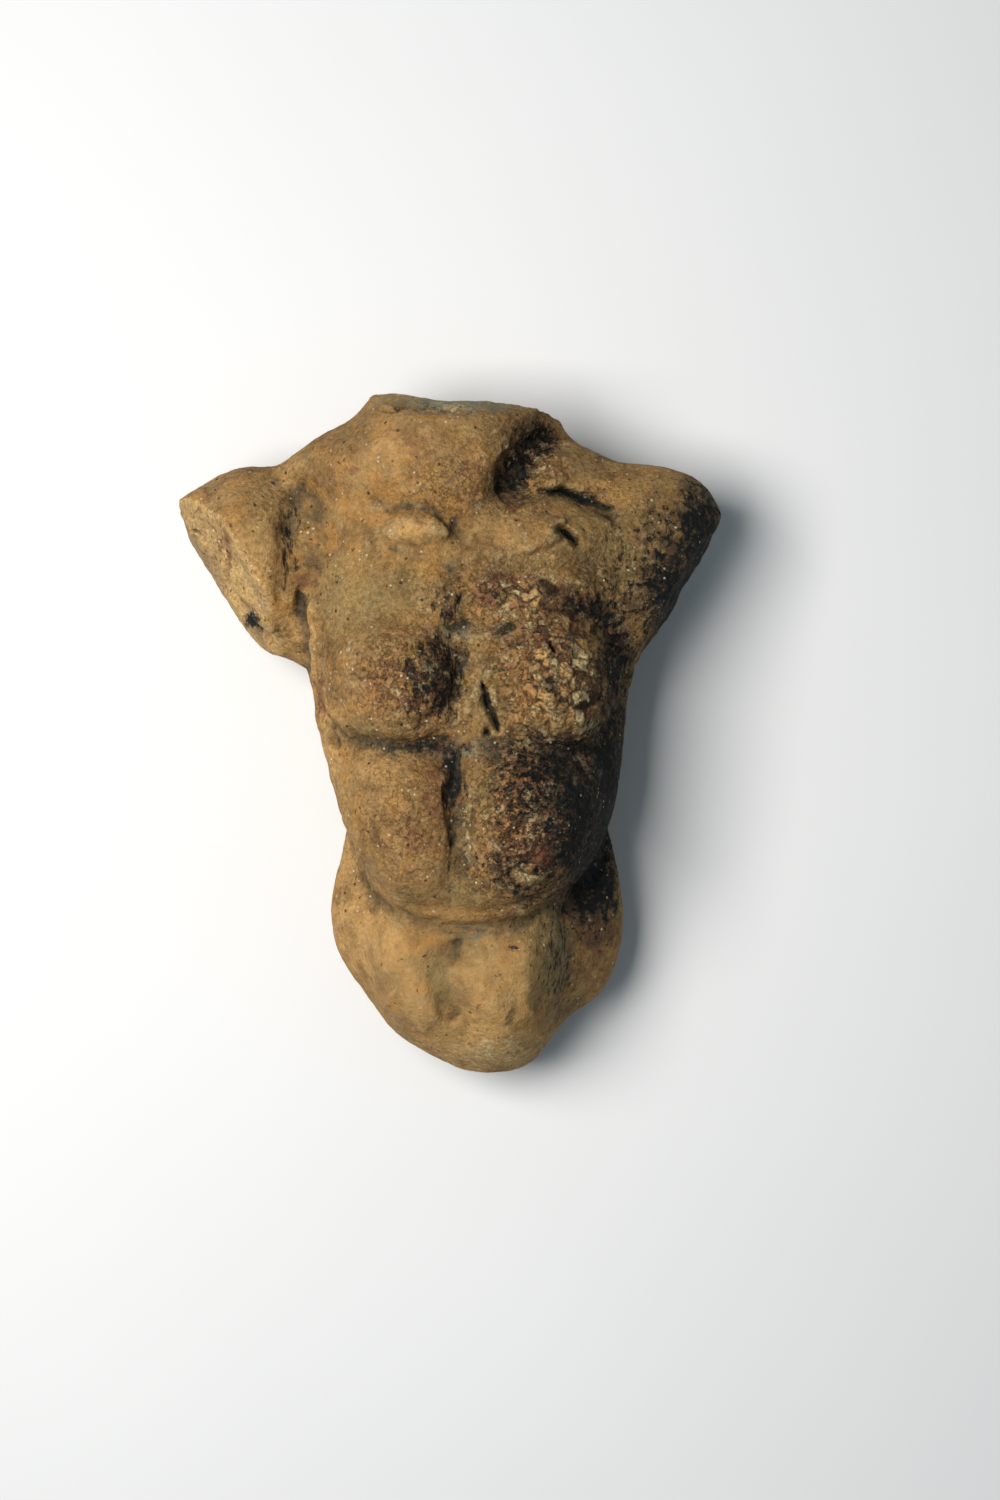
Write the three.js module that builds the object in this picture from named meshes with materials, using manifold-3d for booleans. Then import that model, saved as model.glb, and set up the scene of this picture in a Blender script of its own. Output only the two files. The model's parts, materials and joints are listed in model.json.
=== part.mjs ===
// A broken terracotta figurine: the torso of a muscular man, lying on its back, without head, arms or legs.
// Millimetres, +Z up. +Y runs towards the neck. Left and right are those of someone looking down on the chest.
// The origin is on the table, under the middle of the piece.

import * as THREE from "three";
import { mergeVertices } from "three/addons/utils/BufferGeometryUtils.js";
import Module from "manifold-3d";

// Driving dimensions
const LENGTH = 86.4; // neck break to the worn lower end
const WIDTH = 69.6; // across the two shoulder stumps
const DEPTH = 35; // table to the top of the breast
const FACET = 1.85; // size of a facet
const CLAY_COLOUR = 0x9a7446;

// The masses that the body is blocked out from. Each one swells from a smooth outline, seen from above:
// seat is the height of its widest line, rim how far in from the outline it goes on rounding over and crown
// its top, both along the body as stations from the lower end to the neck, fall how much lower the crown is
// at reach from its middle, back the height of its underside, and blend how softly it joins.
const MASSES = {
  chest: {
    outline: [
      [-16, 35], [2, 39.5], [18, 35.5], [24, 22.5], [23.5, 11], [22.7, 3], [21.9, -5], [20, -12.3],
      [14.5, -20], [7.5, -22.8], [-2, -22.8], [-8.3, -19.6], [-12.7, -12], [-15.2, -4], [-17.1, 5],
      [-18.8, 12], [-18.4, 24],
    ],
    seat: 15,
    rim: [[-23, 4.5], [-14, 6], [-4, 9], [8, 11], [40, 11]],
    crown: [[-24, 29.6], [-17, 31], [-8, 31.8], [0, 32], [10, 32.6], [20, 31.4], [30, 30], [40, 28]],
    middle: 3,
    reach: 20,
    fall: 3.2,
    back: -0.6,
    blend: 1.5,
  },
  hips: {
    outline: [
      [-12, -9.5], [-13.9, -15.6], [-15, -21.5], [-13.9, -27.3], [-9.4, -33.7], [-4.6, -38.4], [0.8, -41.7],
      [6, -42.8], [10.8, -41.4], [13.5, -38], [15.8, -35.2], [19.9, -32.4], [22.3, -27], [22.7, -21.5],
      [21.9, -15.8], [19.5, -9.5], [4, -6],
    ],
    seat: 10,
    rim: [[-43, 9], [-8, 9]],
    crown: [[-43, 15], [-36, 18.5], [-28, 21], [-20, 22], [-8, 20]],
    middle: 2.5,
    reach: 18,
    fall: 5,
    back: -0.6,
    blend: 1.2,
  },
  belly: {
    outline: [
      [-6.5, -15], [-9.8, -23], [-9.8, -30.5], [-6.6, -36.7], [-0.7, -40.2], [5.5, -41.4], [10.8, -39.8],
      [14.2, -34.8], [15.6, -28.6], [15.6, -21.8], [14, -15],
    ],
    seat: 13,
    rim: [[-42, 7], [-30, 5], [-15, 4.4]],
    crown: [[-42, 19], [-38, 22], [-32, 25], [-25, 27], [-18, 27.4]],
    middle: 4,
    reach: 10,
    fall: 1.4,
    back: 3,
    blend: 2,
  },
  leftShoulder: {
    outline: [
      [-36, 29.6], [-31.4, 32.8], [-27.8, 34.8], [-24, 35.4], [-20, 34], [-14, 30], [-12, 22.5], [-13, 13],
      [-17, 10.6], [-23, 11.6], [-28, 14], [-34, 21],
    ],
    seat: 14,
    rim: [[8, 7], [34, 9]],
    crown: [[8, 22], [15, 23.5], [24, 25], [32, 25]],
    middle: -21,
    reach: 14,
    fall: 3.5,
    back: 4,
    blend: 2,
  },
  rightShoulder: {
    outline: [
      [12, 33], [20, 35.3], [26, 35.4], [30.6, 34.4], [33.8, 31.8], [36, 25], [33, 18], [29, 12.4],
      [23.6, 9.8], [18, 11], [13, 22],
    ],
    seat: 15,
    rim: [[8, 8], [34, 8]],
    crown: [[8, 24], [16, 25.2], [24, 26], [32, 25.5]],
    middle: 18,
    reach: 15,
    fall: 4,
    back: 4,
    blend: 3,
  },
  neck: {
    outline: [
      [-9.6, 43.6], [-8.4, 47], [2, 47.8], [12.2, 47], [13.9, 42], [16.3, 37.9], [20.4, 35.1], [15, 29], [-2, 26],
      [-15, 29.5], [-21, 34.2], [-16.3, 38.7], [-11.6, 41.2],
    ],
    seat: 18,
    rim: [[26, 7], [45, 7]],
    crown: [[26, 29.6], [34, 31], [42, 29.6]],
    middle: -2,
    reach: 15,
    fall: 5,
    back: 8,
    blend: 3,
  },
};

// Muscles of the front: centre, half sizes, turn in degrees from +X, and how far each stands up.
const MUSCLES = [
  { name: "throat", at: [0, 34.6], size: [12, 7], turn: 4, rise: 0.9 },
  { name: "left collar bone", at: [-2.9, 25.1], size: [5.4, 3.4], turn: -10, rise: 1.3 },
  { name: "right collar bone", at: [11.6, 25.2], size: [9, 3.4], turn: 6, rise: 1.1 },
  { name: "left shoulder muscle", at: [-24.2, 23.6], size: [10.5, 5.8], turn: -69, rise: 1.6 },
  { name: "left upper chest", at: [-7, 17.6], size: [10, 6], turn: 0, rise: 0.5 },
  { name: "right upper chest", at: [13, 17.2], size: [9, 4.6], turn: 8, rise: 0.7 },
  { name: "left breast", at: [-7, 7.2], size: [9.4, 7.8], turn: -8, rise: 3.3 },
  { name: "right breast", at: [14.8, 7], size: [7.4, 8.6], turn: 6, rise: 3.7 },
  { name: "pit of the stomach", at: [4.6, 4], size: [4, 4.6], turn: 0, rise: 0.5 },
  { name: "left belly muscle", at: [-6.4, -10.4], size: [8.4, 10.8], turn: 12, rise: 2.2 },
  { name: "right belly muscle", at: [11.4, -10.4], size: [9.2, 10.8], turn: -8, rise: 2.8 },
  { name: "left groin", at: [-3.4, -33.4], size: [6.4, 6.6], turn: 30, rise: 0.7 },
  { name: "right groin", at: [7.6, -30.4], size: [6, 9], turn: 0, rise: 0.7 },
];

// Furrows of the front: a path from above, the half width and the depth.
const FURROWS = [
  { name: "white line of the belly", path: [[1.8, -4.4], [1.7, -8], [2.2, -14], [2, -19]], half: 2.8, depth: 0.9 },
  { name: "breast bone", path: [[1.6, 26.5], [1.4, 21], [1.6, 15]], half: 2.6, depth: 0.5 },
  { name: "under the left breast", path: [[-18.4, 10], [-16.4, 5], [-13.4, 1.4], [-9, -0.8], [-4, -1.2], [1, -0.8]], half: 3.2, depth: 1.3 },
  { name: "under the right breast", path: [[5, -0.6], [10, -1.4], [15, -1.6], [19, 0.4], [22, 4]], half: 3.2, depth: 1.3 },
  { name: "hollow beside the neck", path: [[13, 39.4], [10.8, 35.6], [8.2, 32]], half: 4.2, depth: 4 },
  { name: "above the right collar bone", path: [[11.5, 30.2], [15.5, 30.4], [20.6, 28.8]], half: 3, depth: 1.8 },
  { name: "left armpit", path: [[-19.2, 27], [-19.6, 22], [-19.4, 15]], half: 2.8, depth: 1.3 },
  { name: "groin", path: [[1.4, -27], [1.6, -31], [2.4, -36]], half: 3.6, depth: 1.3 },
  { name: "left groin fold", path: [[-9, -32], [-6, -30], [-2.6, -27.6]], half: 3, depth: 1.1 },
  { name: "inside the left breast", path: [[1.9, 14], [2.2, 9], [1.6, 5]], half: 2.8, depth: 0.8 },
  { name: "inside the right breast", path: [[7.6, 14], [7.4, 9], [8.4, 5]], half: 2.8, depth: 1 },
  {
    name: "lower edge of the belly blocks",
    path: [[-13.4, -13], [-10, -20], [-3, -24], [5, -24.4], [11, -23], [16.4, -19], [20, -13]],
    half: 3.2, depth: 1.8,
  },
];

// Plain forms of the back, in the same words: shoulder blades, the small of the back, buttocks and the spine.
const BACK_HOLLOWS = [
  { name: "small of the back", at: [3.5, -9], size: [30, 15], turn: 0, rise: 2.2 },
];
const BACK_FURROWS = [
  { name: "spine", path: [[1, 36], [2.5, 15], [3.5, -12]], half: 3.6, depth: 1.6 },
  { name: "cleft", path: [[3.6, -18], [4.2, -30], [4.6, -42]], half: 3.2, depth: 2.4 },
];

// Broken faces: the middle of each, the way that it faces, and the width and height of the block that cuts it.
const BREAKS = [
  { name: "neck, front", at: [2, 41.1, 27], facing: [0.06, 0.95, 0.3], block: [44, 40] },
  { name: "neck, behind", at: [0, 42.9, 16], facing: [0.125, 0.98, -0.12], block: [44, 40] },
  { name: "left arm, front", at: [-27.9, 21.4, 15.5], facing: [-0.83, -0.475, 0.3], block: [30, 30] },
  { name: "left arm, behind", at: [-29, 20.2, 11], facing: [-0.86, -0.49, 0.14], block: [30, 30] },
  { name: "right arm", at: [30.4, 21, 15], facing: [0.855, -0.518, 0.1], block: [27, 30] },
];

const OUTLINE_STEPS = 6; // straight steps between two points of an outline
const PATH_STEPS = 12; // straight steps along a furrow
const FRONT_FROM = 5; // the relief of the back fades into the relief of the front between these heights
const FRONT_TO = 13;
const SETTLE_TURNS = 4; // steps that bring a vertex onto the surface
const SETTLE_STEP = FACET / 20; // step over which the slope of the surface is measured
const SETTLE_SHARE = 0.3; // share of a facet that a vertex may move to lie on the surface
const SPARE = 6.2; // room around the piece when it is meshed, and the depth of what the table cuts away

const { clamp, degToRad, smoothstep } = THREE.MathUtils;

// Distance from a point to a chain of straight steps, all seen from above.
function distanceToChain(chain, x, y) {
  let nearest = Infinity;
  for (let i = 1; i < chain.length; i++) {
    const a = chain[i - 1];
    const b = chain[i];
    const along = ((x - a.x) * (b.x - a.x) + (y - a.y) * (b.y - a.y)) / a.distanceToSquared(b);
    const t = clamp(along, 0, 1);
    nearest = Math.min(nearest, Math.hypot(a.x + t * (b.x - a.x) - x, a.y + t * (b.y - a.y) - y));
  }
  return nearest;
}

// True where a line towards -X crosses the ring an odd number of times.
function isInside(ring, x, y) {
  let inside = false;
  for (let i = 1; i < ring.length; i++) {
    const a = ring[i - 1];
    const b = ring[i];
    if (a.y > y !== b.y > y && x > a.x + ((y - a.y) * (b.x - a.x)) / (b.y - a.y)) inside = !inside;
  }
  return inside;
}

const flatPoints = (points) => points.map(([x, y]) => new THREE.Vector3(x, y, 0));

// A measure that changes along the body, smooth through [y, value] stations.
function alongBody(stations) {
  const ys = stations.map(([y]) => y);
  const curve = new THREE.CubicInterpolant(ys, stations.map(([, value]) => value), 1);
  return (y) => curve.evaluate(clamp(y, ys[0], ys.at(-1)))[0];
}

// A mass as a field: negative inside it, positive outside, close to a distance in millimetres.
function massField({ outline, seat, rim, crown, middle, reach, fall, back }) {
  const smooth = new THREE.CatmullRomCurve3(flatPoints(outline), true);
  const ring = smooth.getPoints(outline.length * OUTLINE_STEPS);
  const rimAt = alongBody(rim);
  const crownAt = alongBody(crown);
  return (x, y, z) => {
    const inset = distanceToChain(ring, x, y) * (isInside(ring, x, y) ? 1 : -1);
    const top = crownAt(y) - fall * ((x - middle) / reach) ** 2;
    const height = z > seat ? Math.max(top - seat, 1) : seat - back;
    const width = rimAt(y);
    const edge = Math.max(0, 1 - inset / width);
    const level = Math.abs(z - seat) / height;
    const size = Math.hypot(edge, level);
    if (size < 1e-3) return -height;
    return ((size - 1) * size) / Math.hypot(edge / width, level / height);
  };
}

// Joins two fields with a fillet of about the blend's size.
function join(a, b, blend) {
  const near = Math.max(blend - Math.abs(a - b), 0) / blend;
  return Math.min(a, b) - (near * near * blend) / 4;
}

// A swelling with a broad top that dies out smoothly at its half sizes.
function swelling({ at, size, turn, rise }) {
  const cos = Math.cos(degToRad(turn));
  const sin = Math.sin(degToRad(turn));
  return (x, y) => {
    const dx = x - at[0];
    const dy = y - at[1];
    const along = (dx * cos + dy * sin) / size[0];
    const across = (dy * cos - dx * sin) / size[1];
    return rise * Math.max(0, 1 - (along * along + across * across) ** 2) ** 1.5;
  };
}

// A furrow that is deepest on its path and dies out smoothly at its half width.
function furrow({ path, half, depth }) {
  const chain = new THREE.CatmullRomCurve3(flatPoints(path)).getPoints(PATH_STEPS);
  return (x, y) => -depth * Math.max(0, 1 - (distanceToChain(chain, x, y) / half) ** 2) ** 2;
}

const sum = (parts) => (x, y) => parts.reduce((total, part) => total + part(x, y), 0);

// The whole body as one field: the masses joined in turn, with the relief of front and back laid on by height.
function bodyField() {
  const masses = Object.values(MASSES).map((mass) => ({ field: massField(mass), blend: mass.blend }));
  const front = sum([...MUSCLES.map(swelling), ...FURROWS.map(furrow)]);
  const back = sum([...BACK_HOLLOWS.map(swelling), ...BACK_FURROWS.map((line) => furrow({ ...line, depth: -line.depth }))]);
  return (x, y, z) => {
    const share = smoothstep(z, FRONT_FROM, FRONT_TO);
    const level = z - share * front(x, y) - (1 - share) * back(x, y);
    return masses.reduce((body, { field, blend }) => join(body, field(x, y, level), blend), Infinity);
  };
}

// Moves a point onto the field's zero surface in a few straight steps, staying within a part of a facet.
function settle(field, start) {
  const step = SETTLE_STEP;
  const point = start.clone();
  for (let turn = 0; turn < SETTLE_TURNS; turn++) {
    const { x, y, z } = point;
    const slope = new THREE.Vector3(
      field(x + step, y, z) - field(x - step, y, z),
      field(x, y + step, z) - field(x, y - step, z),
      field(x, y, z + step) - field(x, y, z - step),
    ).divideScalar(2 * step);
    const move = slope.multiplyScalar(-field(x, y, z) / Math.max(slope.lengthSq(), 0.01));
    point.add(move).sub(start).clampLength(0, FACET * SETTLE_SHARE).add(start);
  }
  return point;
}

// A closed mesh of the field's zero surface: a vertex in each cell that it passes through, and a quad of two
// triangles across each cell edge that it cuts.
function meshOf(field, low, high) {
  const count = high.clone().sub(low).divideScalar(FACET).ceil().addScalar(1).toArray();
  const index = (i, j, k) => i + count[0] * (j + count[1] * k);
  const place = (i, j, k) => new THREE.Vector3(i, j, k).multiplyScalar(FACET).add(low);
  const values = new Float64Array(count[0] * count[1] * count[2]);
  const eachCell = (visit) => {
    for (let k = 0; k < count[2]; k++)
      for (let j = 0; j < count[1]; j++) for (let i = 0; i < count[0]; i++) visit([i, j, k]);
  };
  eachCell(([i, j, k]) => {
    const { x, y, z } = place(i, j, k);
    values[index(i, j, k)] = field(x, y, z);
  });

  const vertices = [];
  const vertexOfCell = new Map();
  const corners = [...Array(8).keys()].map((c) => [c & 1, (c >> 1) & 1, c >> 2]);
  const cellVertex = (cell) => {
    const key = index(...cell);
    if (!vertexOfCell.has(key)) {
      const crossings = [];
      corners.forEach((from) => {
        [0, 1, 2].filter((axis) => !from[axis]).forEach((axis) => {
          const a = cell.map((v, n) => v + from[n]);
          const b = a.map((v, n) => v + (n === axis ? 1 : 0));
          const [va, vb] = [values[index(...a)], values[index(...b)]];
          if (va < 0 !== vb < 0) crossings.push(place(...a).lerp(place(...b), va / (va - vb)));
        });
      });
      const centre = crossings.reduce((total, p) => total.add(p), new THREE.Vector3());
      vertexOfCell.set(key, vertices.push(settle(field, centre.divideScalar(crossings.length))) - 1);
    }
    return vertexOfCell.get(key);
  };

  const triangles = [];
  eachCell((cell) => {
    [0, 1, 2].filter((axis) => cell[axis] + 1 < count[axis]).forEach((axis) => {
      const next = cell.map((v, n) => v + (n === axis ? 1 : 0));
      const inside = values[index(...cell)] < 0;
      if (inside === values[index(...next)] < 0) return;
      const [b, c] = [(axis + 1) % 3, (axis + 2) % 3];
      const around = [[0, 0], [1, 0], [1, 1], [0, 1]].map(([db, dc]) =>
        cellVertex(cell.map((v, n) => v - (n === b ? db : 0) - (n === c ? dc : 0))),
      );
      const [p, q, r, s] = inside ? around : around.reverse();
      const shorter = vertices[p].distanceTo(vertices[r]) < vertices[q].distanceTo(vertices[s]);
      triangles.push(...(shorter ? [p, q, r, p, r, s] : [q, r, s, q, s, p]));
    });
  });
  const geometry = new THREE.BufferGeometry().setFromPoints(vertices);
  return geometry.setIndex(triangles);
}

const wasm = await Module();
wasm.setup();

function solidOf(geometry) {
  const bare = geometry.clone();
  bare.deleteAttribute("normal");
  bare.deleteAttribute("uv");
  const merged = mergeVertices(bare);
  const vertProperties = merged.attributes.position.array;
  return new wasm.Manifold(new wasm.Mesh({ numProp: 3, vertProperties, triVerts: new Uint32Array(merged.index.array) }));
}

function geometryOf(solid) {
  const { vertProperties, triVerts } = solid.getMesh();
  const geometry = new THREE.BufferGeometry();
  geometry.setAttribute("position", new THREE.BufferAttribute(vertProperties, 3));
  return geometry.setIndex(new THREE.BufferAttribute(triVerts, 1));
}

// A block on the outer side of a broken face, with its height as upright as the face allows.
function cutterOf({ at, facing, block: [width, height] }) {
  const outward = new THREE.Vector3(...facing).normalize();
  const turn = new THREE.Matrix4().lookAt(outward, new THREE.Vector3(), new THREE.Vector3(0, 0, 1));
  const centre = new THREE.Vector3(...at).addScaledVector(outward, width / 2);
  const cube = new THREE.BoxGeometry(width, height, width);
  return solidOf(cube.applyMatrix4(turn.setPosition(centre)));
}

// All that is below the table.
function belowTable() {
  return solidOf(new THREE.BoxGeometry(2 * WIDTH, 2 * LENGTH, SPARE).translate(0, 0, -SPARE / 2));
}

// Brings the finished piece to its driving dimensions, standing on z = 0 about the middle of its plan.
function toSize(geometry) {
  geometry.computeBoundingBox();
  const { min, max } = geometry.boundingBox;
  const size = new THREE.Vector3().subVectors(max, min);
  geometry.translate(-(min.x + max.x) / 2, -(min.y + max.y) / 2, -min.z);
  geometry.scale(WIDTH / size.x, LENGTH / size.y, DEPTH / size.z);
  return geometry;
}

function makeTorso() {
  const low = new THREE.Vector3(-WIDTH / 2, -LENGTH / 2, 0).subScalar(SPARE);
  const high = new THREE.Vector3(WIDTH / 2, LENGTH / 2, DEPTH).addScalar(SPARE);
  const whole = solidOf(meshOf(bodyField(), low, high));
  const cutters = [...BREAKS.map(cutterOf), belowTable()];
  const broken = cutters.reduce((body, cutter) => body.subtract(cutter), whole);
  const clay = new THREE.MeshStandardMaterial({ color: CLAY_COLOUR, roughness: 0.85, metalness: 0 });
  const torso = new THREE.Mesh(toSize(geometryOf(broken)), clay);
  torso.name = "torso";
  return torso;
}

const figurine = new THREE.Group();
figurine.add(makeTorso());

export default figurine;
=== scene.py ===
# %% [markdown]
# This lesson finishes a broken terracotta figurine, the torso of a man that lies on its back on white
# paper. The solid from the CAD stage already has the outline, the muscles and the breaks. Here we give a
# copy of it the skin of old fired clay: fine cuts, pits, flaking, dirt and rough breaks, and we light it
# like the photo.

# %% Load the frame
import json
import bpy
import numpy as np
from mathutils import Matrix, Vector

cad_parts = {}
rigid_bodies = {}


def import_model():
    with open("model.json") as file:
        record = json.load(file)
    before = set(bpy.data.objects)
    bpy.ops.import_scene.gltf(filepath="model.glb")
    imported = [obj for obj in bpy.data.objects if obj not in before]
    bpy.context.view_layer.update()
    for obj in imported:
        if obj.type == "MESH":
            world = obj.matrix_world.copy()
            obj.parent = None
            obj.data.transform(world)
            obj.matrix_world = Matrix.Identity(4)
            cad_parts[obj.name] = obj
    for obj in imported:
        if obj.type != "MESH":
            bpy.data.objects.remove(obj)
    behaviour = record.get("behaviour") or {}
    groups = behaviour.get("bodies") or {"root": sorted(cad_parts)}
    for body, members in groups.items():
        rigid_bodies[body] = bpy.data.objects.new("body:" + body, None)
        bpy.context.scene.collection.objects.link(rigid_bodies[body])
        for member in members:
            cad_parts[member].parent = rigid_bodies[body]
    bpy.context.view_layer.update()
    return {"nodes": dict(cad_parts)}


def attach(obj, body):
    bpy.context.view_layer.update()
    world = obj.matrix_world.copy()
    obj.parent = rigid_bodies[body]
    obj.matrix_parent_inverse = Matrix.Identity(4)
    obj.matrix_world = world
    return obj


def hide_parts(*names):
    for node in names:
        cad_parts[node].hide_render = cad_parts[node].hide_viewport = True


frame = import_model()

MM = 0.001


def only(piece):
    """Makes one object the selected and active one."""
    bpy.ops.object.select_all(action="DESELECT")
    piece.select_set(True)
    bpy.context.view_layer.objects.active = piece


# %% [markdown]
# The figurine is one lump of clay, so it is one piece here too. We copy the CAD solid, weld the copy's
# corners and wrap it in an even skin with a voxel remesh. An even skin takes fine relief far better than
# the long triangles of the solid. Smoothing then melts the facets away, as long wear would.

# %% Copy the solid and give it an even skin
SKIN_CELL = 0.67
MELT_TURNS = 7

only(frame["nodes"]["torso"])
bpy.ops.object.duplicate()
torso = bpy.context.object
torso.name = "terracotta_torso"
bpy.ops.object.parent_clear(type="CLEAR_KEEP_TRANSFORM")
for key in list(torso.keys()):
    del torso[key]
bpy.ops.object.mode_set(mode="EDIT")
bpy.ops.mesh.select_all(action="SELECT")
bpy.ops.mesh.remove_doubles(threshold=0.01 * MM)
bpy.ops.mesh.normals_make_consistent(inside=False)
bpy.ops.object.mode_set(mode="OBJECT")


def add_modifier(kind, **settings):
    """Adds a modifier to the torso, sets it and applies it."""
    only(torso)
    bpy.ops.object.modifier_add(type=kind)
    modifier = torso.modifiers[-1]
    for key, value in settings.items():
        setattr(modifier, key, value)
    bpy.ops.object.modifier_apply(modifier=modifier.name)


add_modifier("REMESH", mode="VOXEL", voxel_size=SKIN_CELL * MM, use_smooth_shade=True)
add_modifier("SMOOTH", factor=0.5, iterations=MELT_TURNS)
print("even skin:", len(torso.data.polygons), "faces")

# %% [markdown]
# The front is what the viewer sees close up, so its skin needs smaller cells than the back. We pick the
# faces that look upwards, even slightly, by their normals and subdivide only those, then smooth the skin
# a little.

# %% Finer cells on the front
UPWARD = 0.12
SETTLE_TURNS = 3

picked = np.zeros(len(torso.data.polygons) * 3)
torso.data.polygons.foreach_get("normal", picked)
picked = picked.reshape(-1, 3)[:, 2] > UPWARD
only(torso)
bpy.ops.object.mode_set(mode="EDIT")
bpy.context.tool_settings.mesh_select_mode = (False, False, True)
bpy.ops.mesh.select_all(action="DESELECT")
bpy.ops.object.mode_set(mode="OBJECT")
torso.data.polygons.foreach_set("select", picked)
bpy.ops.object.mode_set(mode="EDIT")
bpy.ops.mesh.subdivide(number_cuts=1)
bpy.ops.object.mode_set(mode="OBJECT")
add_modifier("SMOOTH", factor=0.5, iterations=SETTLE_TURNS)
torso.data.calc_loop_triangles()
print("finer front:", len(torso.data.loop_triangles), "triangles")

# %% [markdown]
# Fine relief is placed by plan positions in millimetres, read from above like a map. A stroke is a path
# with a half width, and a patch is a soft ellipse. For each vertex we work out how near it is, and store
# that as the weight of a vertex group, so that an ordinary Displace modifier can press or raise the skin
# there.

# %% Tools for strokes and patches
DATUM = np.array((-0.2, -0.35))
SHAKE = 0.12


def skin():
    """Positions in millimetres and normals of the torso's vertices."""
    count = len(torso.data.vertices)
    places = np.zeros(count * 3)
    torso.data.vertices.foreach_get("co", places)
    normals = np.zeros(count * 3)
    torso.data.vertex_normals.foreach_get("vector", normals)
    return places.reshape(-1, 3) / MM, normals.reshape(-1, 3)


def facing_up():
    """1 on the front, fading to 0 on what faces down."""
    return np.clip((skin()[1][:, 2] + 0.25) / 0.4, 0, 1)


def plan_of_skin():
    """Plan positions of the vertices from the datum, shaken so that no drawn line is quite straight."""
    plan = skin()[0][:, :2] - DATUM
    x, y = plan.T
    sideways = np.sin(1.7 * y + 0.6) + np.sin(0.71 * y + 2.1)
    lengthways = np.sin(1.9 * x + 1.3) + np.sin(0.83 * x)
    return plan + SHAKE * np.stack((sideways, lengthways), axis=1)


def nearest_on(path):
    """Each vertex's distance from a path, seen from above, and its place along the path, from 0 to 1."""
    plan = plan_of_skin()
    points = np.array(path, float)
    lengths = np.linalg.norm(np.diff(points, axis=0), axis=1)
    nearest = np.full(len(plan), np.inf)
    share = np.zeros(len(plan))
    for i, length in enumerate(lengths):
        step = points[i + 1] - points[i]
        along = np.clip((plan - points[i]) @ step / length ** 2, 0, 1)
        away = np.linalg.norm(plan - points[i] - along[:, None] * step, axis=1)
        closer = away < nearest
        nearest[closer] = away[closer]
        share[closer] = ((lengths[:i].sum() + along * length) / lengths.sum())[closer]
    return nearest, share


def stroke(path, half, pointed=True):
    """1 on the path, fading to 0 at its half width, uneven along it and narrower towards pointed ends."""
    x, y = plan_of_skin().T
    uneven = 0.85 + 0.15 * np.sin(2.3 * x + 1.1 * y) * np.sin(1.9 * y - 0.7 * x + 0.5)
    away, share = nearest_on(path)
    if pointed:
        half = half * (0.35 + 0.65 * np.sqrt(np.sin(np.pi * share).clip(0, 1)))
    return uneven * np.clip(1 - (away / half) ** 2, 0, 1) ** 2


def patches(rows):
    """The strongest of some soft ellipses: x, y, half width, half height and strength."""
    plan = plan_of_skin()
    strongest = np.zeros(len(plan))
    for x, y, wide, high, strength in rows:
        away = ((plan[:, 0] - x) / wide) ** 2 + ((plan[:, 1] - y) / high) ** 2
        strongest = np.maximum(strongest, strength * np.exp(-0.6 * away))
    return strongest * facing_up()


def press(name, depths, texture=None, direction="NORMAL"):
    """Moves the skin in by depths in millimetres, out where negative, or both ways by a texture."""
    most = float(np.abs(depths).max())
    for sign, side in ((-1, "in"), (1, "out")):
        weights = np.clip(-sign * depths / most, 0, 1)
        chosen = np.flatnonzero(weights > 0.003)
        if len(chosen) == 0:
            continue
        group = torso.vertex_groups.new(name=name + "_" + side)
        for index in chosen:
            group.add([int(index)], float(weights[index]), "REPLACE")
        settings = {"vertex_group": group.name, "strength": sign * most * MM, "direction": direction}
        settings["mid_level"] = 0.5 if texture else 0.0
        if texture:
            settings["texture"] = texture
            settings["texture_coords"] = "LOCAL"
        add_modifier("DISPLACE", **settings)
        torso.vertex_groups.remove(torso.vertex_groups[name + "_" + side])


def sunk_below(turns, depth):
    """How far the skin lies below a copy smoothed so many times, as a share of a depth in millimetres."""
    only(torso)
    bpy.ops.object.duplicate()
    melted = bpy.context.object
    bpy.ops.object.modifier_add(type="SMOOTH")
    melted.modifiers[-1].factor = 0.5
    melted.modifiers[-1].iterations = turns
    bpy.ops.object.modifier_apply(modifier=melted.modifiers[-1].name)
    smooth_places = np.zeros(len(melted.data.vertices) * 3)
    melted.data.vertices.foreach_get("co", smooth_places)
    bpy.ops.object.delete()
    places, normals = skin()
    return ((smooth_places.reshape(-1, 3) / MM - places) * normals).sum(axis=1) / depth


# %% [markdown]
# First the furrows between the muscles: smoothing has filled them a little, so we compare the skin with a
# much smoother copy and press it deeper wherever it already lies low. Then come the cuts that the maker
# drew with a tool, and the folds of the body that are too sharp for the solid: the line down the belly,
# the edges of the breasts, the slit over the collar bone and the groin. All cuts and ridges go into one
# set of depths, so that where they meet they blend.

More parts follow.
